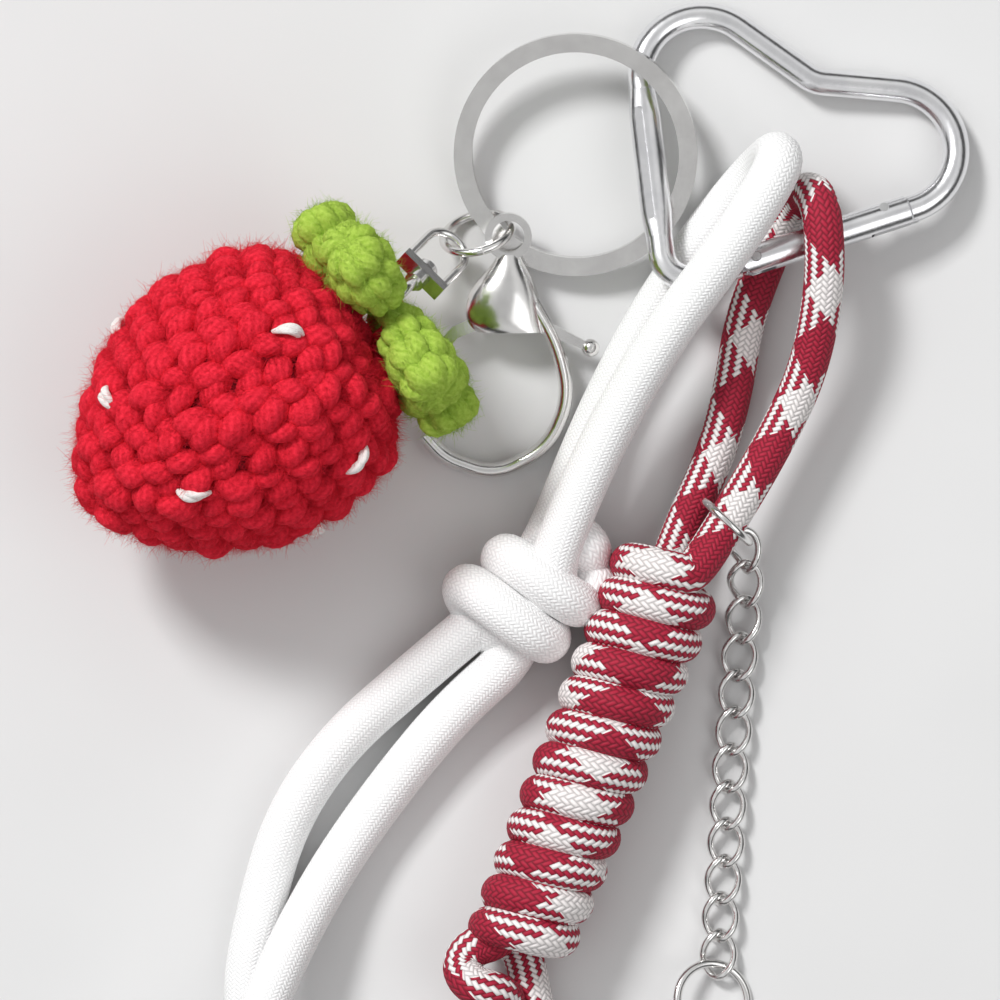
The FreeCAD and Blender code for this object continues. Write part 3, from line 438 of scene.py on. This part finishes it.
# The core comes out under the last turn in a small bight before it leaves as an end.
END_BIGHT = [
    (-0.4, -60.4, 3.2), (1.0, -57.4, 5.0), (-0.6, -56.2, 8.4), (-3.4, -55.6, 8.6),
    (-4.6, -53.4, 7.2), (-3.2, -51.2, 6.8), (-0.4, -50.6, 6.4),
]
TURNS = 12
STEPS_PER_TURN = 16
WRAP_RADIUS = 4.62
WRAP_TAPER = 0.5
FIRST_TURN_ANGLE = math.radians(55)
FINE_CORD_STEP = 0.00045

wrap_axis = (WRAP_FOOT - WRAP_TOP).normalized()
wrap_length = (WRAP_FOOT - WRAP_TOP).length
wrap_side = UP.cross(wrap_axis).normalized()
wrap_up = wrap_axis.cross(wrap_side).normalized()


def wrap_turns():
    """The turns round the core, a little tighter towards the foot."""
    points = []
    count = TURNS * STEPS_PER_TURN
    first, last = 2.2, wrap_length - 2.4
    for i in range(count - STEPS_PER_TURN // 3):
        share = i / count
        turn = FIRST_TURN_ANGLE + 2 * math.pi * i / STEPS_PER_TURN
        radius = WRAP_RADIUS - WRAP_TAPER * share
        along = first + (last - first) * share
        points.append(WRAP_TOP + wrap_axis * along
                      + (wrap_side * math.cos(turn) + wrap_up * math.sin(turn)) * radius)
    return points


def red_route():
    """One cord: an end, the bight, up the core, round the loop, down the wrap and out as an end."""
    route = [Vector(p) for p in reversed(RED_CORE_TAIL[2:])] + [Vector(p) for p in END_BIGHT]
    route += [WRAP_TOP + wrap_axis * s for s in (wrap_length - 10, wrap_length / 2, 8.0)]
    route += [Vector(p) for p in RED_LOOP[1:-1]]
    route += wrap_turns()
    route += [Vector(p) for p in RED_WRAP_TAIL[1:]]
    return [place(*p) for p in route]


red_points = spread(nurbs_line("red_cord", red_route()), FINE_CORD_STEP)
red_cord = tube("two_colour_cord", red_points, RED_D * MM / 2, 26, RED_BRAID)


# ---------------------------------------------------------------- strawberry

# The middle of the strawberry's top, and its axes: along it to the tip, across it, and up.
BERRY = place(-15.0, 19.8, 18.3)
HEADING, DROOP = math.radians(211.7), math.radians(4.0)
BERRY_X = Vector((math.cos(HEADING) * math.cos(DROOP), math.sin(HEADING) * math.cos(DROOP),
                  -math.sin(DROOP)))
BERRY_Y = Vector((-math.sin(HEADING), math.cos(HEADING), 0.0))
BERRY_Z = BERRY_X.cross(BERRY_Y).normalized()
BERRY_LENGTH = 38.9
BERRY_RADIUS = 17.1
# The outline from the top to the tip: shares of the length and of the greatest radius.
PROFILE = [(0.0, 0.0), (0.004, 0.30), (0.05, 0.66), (0.14, 0.87), (0.27, 0.98), (0.40, 1.0),
           (0.56, 0.955), (0.72, 0.80), (0.86, 0.565), (0.96, 0.30), (1.0, 0.0)]
OUTLINE_STEP = 0.2


def outline():
    """The strawberry's outline as a smooth line of (along, radius) points in millimetres."""
    route = [Vector((a * BERRY_LENGTH, r * BERRY_RADIUS, 0)) * MM for a, r in PROFILE]
    return [(p.x / MM, p.y / MM) for p in spread(nurbs_line("outline", route), OUTLINE_STEP * MM)]


OUTLINE = outline()
OUTLINE_RUN = [0.0]
for before, after in zip(OUTLINE, OUTLINE[1:]):
    OUTLINE_RUN.append(OUTLINE_RUN[-1] + math.dist(before, after))


def nearest(values, wanted):
    """The index of the value that is nearest to the wanted one."""
    return min(range(len(values)), key=lambda k: abs(values[k] - wanted))


def berry_at(run, angle, lift):
    """A point on the strawberry: a run along its outline, an angle round it, a lift off it."""
    i = max(1, min(nearest(OUTLINE_RUN, run), len(OUTLINE) - 2))
    along, radius = OUTLINE[i]
    d_along = OUTLINE[i + 1][0] - OUTLINE[i - 1][0]
    d_radius = OUTLINE[i + 1][1] - OUTLINE[i - 1][1]
    length = math.hypot(d_along, d_radius)
    out_along, out_radius = -d_radius / length, d_along / length
    across = BERRY_Z * math.cos(angle) + BERRY_Y * math.sin(angle)
    return BERRY + (BERRY_X * (along + out_along * lift) + across * (radius + out_radius * lift)) * MM


def arch(start, middle, end, count):
    """Points along a smooth arch through three points."""
    out = []
    for i in range(count + 1):
        t = i / count
        pull = middle * 2 - (start + end) / 2
        out.append(start * (1 - t) ** 2 + pull * 2 * t * (1 - t) + end * t ** 2)
    return out


# Three plies: how deep the grooves between them are, and their twist in radians a millimetre.
PLIES = 3
PLY_DEPTH = 0.20
PLY_TWIST = 0.9
# How far the yarn's pattern runs between two rings of points, in metres.
YARN_UV_STEP = 0.0006


class Strands:
    """Many short yarn strands gathered into one mesh."""

    def __init__(self):
        self.verts, self.faces, self.uvs = [], [], []
        self.paths = []

    def add(self, points, radius, sides=12, taper=0.5):
        """One strand along points, thinner towards its ends, with its plies wound round it."""
        self.paths.append((points, radius))
        tangents, normals = frames_along(points)
        base, count = len(self.verts), len(points)
        spin = random.uniform(0, 2 * math.pi)
        run = 0.0
        start = random.uniform(0, 1)
        for i, (p, t, n) in enumerate(zip(points, tangents, normals)):
            other = t.cross(n)
            share = math.sin(math.pi * (i + 0.6) / (count + 0.2)) ** taper
            if i:
                run += (p - points[i - 1]).length
            for k in range(sides):
                angle = 2 * math.pi * k / sides
                groove = abs(math.cos(PLIES / 2 * (angle + spin) + run / MM * PLY_TWIST))
                ply = 1 - PLY_DEPTH + PLY_DEPTH * groove
                out = n * math.cos(angle) + other * math.sin(angle)
                self.verts.append(p + out * radius * share * ply)
        for i in range(count - 1):
            for k in range(sides):
                m = (k + 1) % sides
                a = base + i * sides
                self.faces.append((a + k, a + m, a + sides + m, a + sides + k))
                u0, u1 = start + YARN_UV_STEP * i, start + YARN_UV_STEP * (i + 1)
                v0, v1 = k / sides, (k + 1) / sides
                self.uvs.append(((u0, v0), (u0, v1), (u1, v1), (u1, v0)))

    def build(self, name, material):
        """The strands as one object."""
        return mesh_object(name, self.verts, self.faces, material, self.uvs)

    def hair_root(self, middle):
        """A place on the outer side of one strand, and a direction that trails along it."""
        points, radius = random.choice(self.paths)
        i = random.randrange(2, len(points) - 2)
        along = (points[i + 1] - points[i - 1]).normalized()
        out = along.orthogonal().normalized()
        out.rotate(Quaternion(along, random.uniform(0, 2 * math.pi)))
        if out.dot(points[i] - middle) < 0:
            out.negate()
        trail = along * random.choice((-1, 1)) + out * 0.40
        return points[i] + out * radius * 0.88, trail.normalized()


ROW_HEIGHT = 4.1
STITCH_WIDTH = 5.3
YARN_RADIUS = 1.72
# How far the rows shift round the fruit from one to the next, in stitches.
ROW_SPIRAL = 0.31
# How far under the surface a leg starts, has its middle and ends.
LEG_LIFTS = (-4.1, -1.8, -4.0)
GROUND_LIFT = -2.6


def berry_stitches(strands):
    """Rows of crochet: each stitch is two plump legs that meet in a V, and rows lock together."""
    total = OUTLINE_RUN[-1]
    rows = int(total / ROW_HEIGHT)
    for row in range(rows + 1):
        run = 1.2 + row * (total - 2.4) / rows
        radius = OUTLINE[nearest(OUTLINE_RUN, run)][1]
        count = max(4, round(2 * math.pi * radius / STITCH_WIDTH))
        step = 2 * math.pi / count
        for k in range(count):
            angle = (k + 0.5 * (row % 2) + ROW_SPIRAL * row + random.uniform(-0.11, 0.11)) * step
            for leg in (-1, 1):
                size = random.uniform(0.84, 1.14)
                drift, turn, lift = (random.uniform(-1, 1) for _ in range(3))
                swing = leg * step
                top = berry_at(run - (2.6 + 0.4 * turn) * size, angle + swing * (0.50 + 0.06 * turn),
                               LEG_LIFTS[0])
                mid = berry_at(run + 0.55 * drift, angle + swing * (0.27 + 0.08 * turn),
                               LEG_LIFTS[1] + 0.5 * lift)
                low = berry_at(run + (2.6 + 0.4 * drift) * size, angle + swing * 0.03, LEG_LIFTS[2])
                strands.add(arch(top, mid, low, 12), YARN_RADIUS * MM * size, 18)
    return strands.build("berry_stitches", RED_WOOL)


def berry_ground():
    """The inner surface that shows between the stitches, coloured dark as painted shade for the gaps."""
    verts, faces, around = [], [], 48
    picks = list(range(0, len(OUTLINE), 8))
    for i in picks:
        for k in range(around):
            verts.append(berry_at(OUTLINE_RUN[i], 2 * math.pi * k / around, GROUND_LIFT))
    for row in range(len(picks) - 1):
        for k in range(around):
            m = (k + 1) % around
            a = row * around
            faces.append((a + k, a + m, a + around + m, a + around + k))
    return mesh_object("berry_ground", verts, faces, RED_SHADE_GROUND)


berry_strands = Strands()
berry_yarn = berry_stitches(berry_strands)
berry_inner = berry_ground()


# A loose fibre's half width at its root, its middle and its tip.
FIBRE_WIDTHS = (0.024, 0.018, 0.007)


def fuzz(name, count, material, point_and_out, length):
    """Loose fibres that stand off the yarn, as thin three-sided strands."""
    verts, faces = [], []
    for _ in range(count):
        start, out = point_and_out()
        bend = Vector((random.gauss(0, 1), random.gauss(0, 1), random.gauss(0, 1))).normalized()
        reach = length * random.uniform(0.4, 1.0)
        middle = start + out * reach * 0.5 + bend * reach * 0.25
        points = [start, middle, start + out * reach * 0.7 + bend * reach * 0.75]
        side = out.orthogonal().normalized()
        other = out.cross(side)
        base = len(verts)
        for p, width in zip(points, FIBRE_WIDTHS):
            for k in range(3):
                angle = 2 * math.pi * k / 3
                verts.append(p + (side * math.cos(angle) + other * math.sin(angle)) * width * MM)
        for i in range(2):
            for k in range(3):
                m = (k + 1) % 3
                a = base + 3 * i
                faces.append((a + k, a + m, a + 3 + m, a + 3 + k))
    return mesh_object(name, verts, faces, material)


def on_berry():
    """A place on the strawberry, picked evenly over its surface, and the way out from it."""
    run = random.uniform(1.0, OUTLINE_RUN[-1] - 1.0)
    while random.random() > OUTLINE[min(int(run / OUTLINE_STEP), len(OUTLINE) - 1)][1] / BERRY_RADIUS:
        run = random.uniform(1.0, OUTLINE_RUN[-1] - 1.0)
    angle = random.uniform(0, 2 * math.pi)
    low, high = berry_at(run, angle, -1.5), berry_at(run, angle, 0.0)
    return low, (high - low).normalized()


berry_fuzz = fuzz("berry_fibres", 16000, RED_WOOL, on_berry, 1.9 * MM)
BERRY_MIDDLE = BERRY + BERRY_X * BERRY_LENGTH * 0.45 * MM
berry_nap = fuzz("berry_nap", 42000, RED_WOOL, lambda: berry_strands.hair_root(BERRY_MIDDLE), 2.0 * MM)

# Each seed: how far along the strawberry, the angle round it and the seed's own turn, in degrees.
SEEDS = [(0.17, -15, 148), (0.74, -42, 89), (0.67, 25, 150), (0.21, 54, 13), (0.45, 96, 70),
         (0.40, 128, 60), (0.72, 215, 80), (0.38, 232, 70), (0.62, 265, 60)]


SEED_REACH = 1.65
SEED_RADIUS = 0.5
SEED_LIFTS = (-0.9, 0.15, -0.9)


def run_at_share(share):
    """The run along the outline at a share of the strawberry's length."""
    return OUTLINE_RUN[nearest([along for along, _ in OUTLINE], share * BERRY_LENGTH)]


def seed_stitches():
    """Short white stitches through the surface, each of two plies of wool."""
    strands = Strands()
    for share, angle, spin in SEEDS:
        run, turn = run_at_share(share), math.radians(angle)
        d_run = SEED_REACH * math.cos(math.radians(spin))
        d_turn = SEED_REACH * math.sin(math.radians(spin)) / (BERRY_RADIUS * 0.8)
        for offset in (-0.3, 0.3):
            start = berry_at(run - d_run + offset, turn - d_turn, SEED_LIFTS[0])
            middle = berry_at(run + offset, turn + 0.02 * offset, SEED_LIFTS[1])
            end = berry_at(run + d_run + offset, turn + d_turn, SEED_LIFTS[2])
            strands.add(arch(start, middle, end, 12), SEED_RADIUS * MM, taper=0.35)
    return strands.build("seeds", WHITE_WOOL)


seeds = seed_stitches()


# ---------------------------------------------------------------- leaves

# Each lobe is a plump pad: its angle, how far out and back its middle is, and its half sizes
# outwards, across and along the fruit.
LOBES = [
    (-98, 9.2, -1.4, 5.9, 4.2, 3.3), (-42, 8.6, -3.4, 5.6, 4.3, 3.2), (58, 8.2, -3.2, 5.6, 4.3, 3.2),
    (100, 9.8, -2.5, 6.1, 4.3, 3.4), (155, 8.0, -2.0, 5.3, 4.0, 2.8),
]
LOBE_RINGS = (-0.66, 0.0, 0.64)
LEAF_YARN_RADIUS = 1.62
MIDDLE_YARN_RADIUS = 1.3


def lobe_point(lobe, run, turn, lift):
    """A point on a lobe's surface: how far out along it (-1 to 1), the angle round it, a lift."""
    angle, out, back, half_out, half_across, half_back = lobe
    angle = math.radians(angle)
    radial = BERRY_Z * math.cos(angle) + BERRY_Y * math.sin(angle)
    sideways = BERRY_Y * math.cos(angle) - BERRY_Z * math.sin(angle)
    girth = math.sqrt(max(0.0, 1.0 - run * run)) ** 0.8
    across = (half_across * girth + lift) * math.cos(turn)
    lean = (half_back * girth + lift) * math.sin(turn)
    return BERRY + (radial * (out + (half_out + lift * abs(run)) * run) + sideways * across
                    + BERRY_X * (back + lean)) * MM


def calyx(strands):
    """Five crocheted lobes, each of rings of fat stitches, gathered on a small round middle."""
    for lobe in LOBES:
        for ring, run in enumerate(LOBE_RINGS):
            count = 5 if abs(run) < 0.5 else 4
            for k in range(count):
                step = 2 * math.pi / count
                turn = (k + 0.5 * (ring % 2)) * step + random.uniform(-0.1, 0.1)
                for leg in (-1, 1):
                    size = random.uniform(0.92, 1.1)
                    top = lobe_point(lobe, run - 0.44, turn + leg * step * 0.46, -2.0)
                    mid = lobe_point(lobe, run, turn + leg * step * 0.26, -0.5)
                    low = lobe_point(lobe, run + 0.44, turn + leg * step * 0.04, -1.9)
                    strands.add(arch(top, mid, low, 9), LEAF_YARN_RADIUS * MM * size, 16)
    for k in range(8):
        turn = 2 * math.pi * k / 8
        points = []
        for out, swing, back in ((1.5, 0.0, -1.6), (4.2, 0.35, -2.9), (6.4, 0.6, -1.4)):
            radial = BERRY_Z * math.cos(turn + swing) + BERRY_Y * math.sin(turn + swing)
            points.append(BERRY + (radial * out + BERRY_X * back) * MM)
        strands.add(arch(*points, 9), MIDDLE_YARN_RADIUS * MM)
    return strands.build("calyx", GREEN_WOOL)


def calyx_ground():
    """The dense inside of the calyx that shows between its stitches, coloured dark as painted shade for
    the gaps.
    """
    verts, faces = [], []
    rows, around = 8, 14
    for lobe in LOBES:
        base = len(verts)
        for row in range(rows + 1):
            for k in range(around):
                verts.append(lobe_point(lobe, -0.999 + 1.998 * row / rows, 2 * math.pi * k / around, -1.0))
        for row in range(rows):
            for k in range(around):
                m = (k + 1) % around
                a = base + around * row
                faces.append((a + k, a + m, a + around + m, a + around + k))
    return mesh_object("calyx_ground", verts, faces, GREEN_SHADE_GROUND)


leaf_strands = Strands()
leaves = calyx(leaf_strands)
leaf_inner = calyx_ground()


def on_leaf():
    """A place on one of the lobes and the way out from it."""
    lobe = random.choice(LOBES)
    run, turn = random.uniform(-0.9, 0.9), random.uniform(0, 2 * math.pi)
    low, high = lobe_point(lobe, run, turn, 0.0), lobe_point(lobe, run, turn, 1.2)
    return low, (high - low).normalized()


leaf_fuzz = fuzz("leaf_fibres", 2600, GREEN_WOOL, on_leaf, 1.5 * MM)
leaf_nap = fuzz("leaf_nap", 11000, GREEN_WOOL, lambda: leaf_strands.hair_root(BERRY), 1.7 * MM)


# ---------------------------------------------------------------- metal finishes

SLOT_MATERIAL = {"satin_aluminium": ALUMINIUM, "nickel_plate": NICKEL, "pin_steel": PIN_STEEL,
                 "spring_steel": PIN_STEEL, "red_yarn": RED_WOOL, "stuffing": RED_SHADE_GROUND}
for part in frame["record"]["subparts"]:
    shown = frame["nodes"][part["node"]]
    finish = SLOT_MATERIAL.get(part["material_slot"])
    if finish:
        shown.data.materials.clear()
        shown.data.materials.append(finish)


# ---------------------------------------------------------------- what stands for what

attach(white_cord, "white_lanyard")
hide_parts("white_cord_loop", "white_cord_knot", "white_cord_wrist_loop")
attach(red_cord, "red_lanyard")
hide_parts("red_cord_loop", "red_cord_wrap", "red_cord_core_end", "red_cord_wrap_end")
for piece in (berry_yarn, berry_inner, berry_fuzz, berry_nap, seeds,
              leaves, leaf_inner, leaf_fuzz, leaf_nap):
    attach(piece, "strawberry")
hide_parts("berry_shell")
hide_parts("berry_stuffing")
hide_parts("leaf_calyx")
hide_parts("seed_stitches")


# ---------------------------------------------------------------- floor and light

TABLE_HALF = 3.0


def floor():
    """A plain pale tabletop with the faintest paper grain."""
    material, tree, shader = new_material("table")
    grain = ramp(tree, noise(tree, 30, 2.0), 0.3, 0.7, (0.68, 0.68, 0.68), (0.70, 0.70, 0.70))
    tree.links.new(grain, shader.inputs["Base Color"])
    shader.inputs["Roughness"].default_value = 0.9
    corners = [(x * TABLE_HALF, y * TABLE_HALF, 0) for x, y in ((-1, -1), (1, -1), (1, 1), (-1, 1))]
    return mesh_object("table", corners, [(0, 1, 2, 3)], material)


floor()


def area_light(name, where, size, power):
    """A square light, in metres and watts, that looks at the middle of the object."""
    data = bpy.data.lights.new(name, "AREA")
    data.shape = "RECTANGLE"
    data.size, data.size_y = size, size
    data.energy = power
    lamp = bpy.data.objects.new(name, data)
    lamp.location = where
    lamp.rotation_mode = "QUATERNION"
    lamp.rotation_quaternion = (-Vector(where)).to_track_quat("-Z", "Y")
    bpy.context.scene.collection.objects.link(lamp)


area_light("key", (-1.10, 1.40, 1.80), 0.56, 50.0)
area_light("fill", (0.55, -0.25, 0.8), 0.6, 1.2)

# The surroundings' brightness from the horizon to straight up, and how far it wavers with direction.
WORLD_STOPS = [
    (0.0, 0.35), (0.20, 0.04), (0.45, 0.07), (0.56, 0.84), (0.80, 0.90), (0.94, 0.66), (1.0, 0.62),
]
WORLD_WAVER = 0.07
WORLD_STRENGTH = 0.84


def studio_world():
    """Soft white surroundings with a dark band low down, so that bright metal has edges."""
    world = bpy.data.worlds.new("studio")
    world.use_nodes = True
    tree = world.node_tree
    direction = tree.nodes.new("ShaderNodeTexCoord").outputs["Generated"]
    split = tree.nodes.new("ShaderNodeSeparateXYZ")
    tree.links.new(direction, split.inputs[0])
    band = calc(tree, "SINE", calc(tree, "MULTIPLY_ADD", split.outputs[0], 6.0, 0.8))
    height = calc(tree, "MULTIPLY_ADD", band, WORLD_WAVER, split.outputs[2])
    grey = tree.nodes.new("ShaderNodeValToRGB")
    stops = grey.color_ramp.elements
    while len(stops) < len(WORLD_STOPS):
        stops.new(0.5)
    for stop, (where, level) in zip(stops, WORLD_STOPS):
        stop.position = where
        stop.color = (level, level, level, 1.0)
    tree.links.new(height, grey.inputs["Fac"])
    background = tree.nodes["Background"]
    tree.links.new(grey.outputs["Color"], background.inputs["Color"])
    background.inputs["Strength"].default_value = WORLD_STRENGTH
    bpy.context.scene.world = world


studio_world()
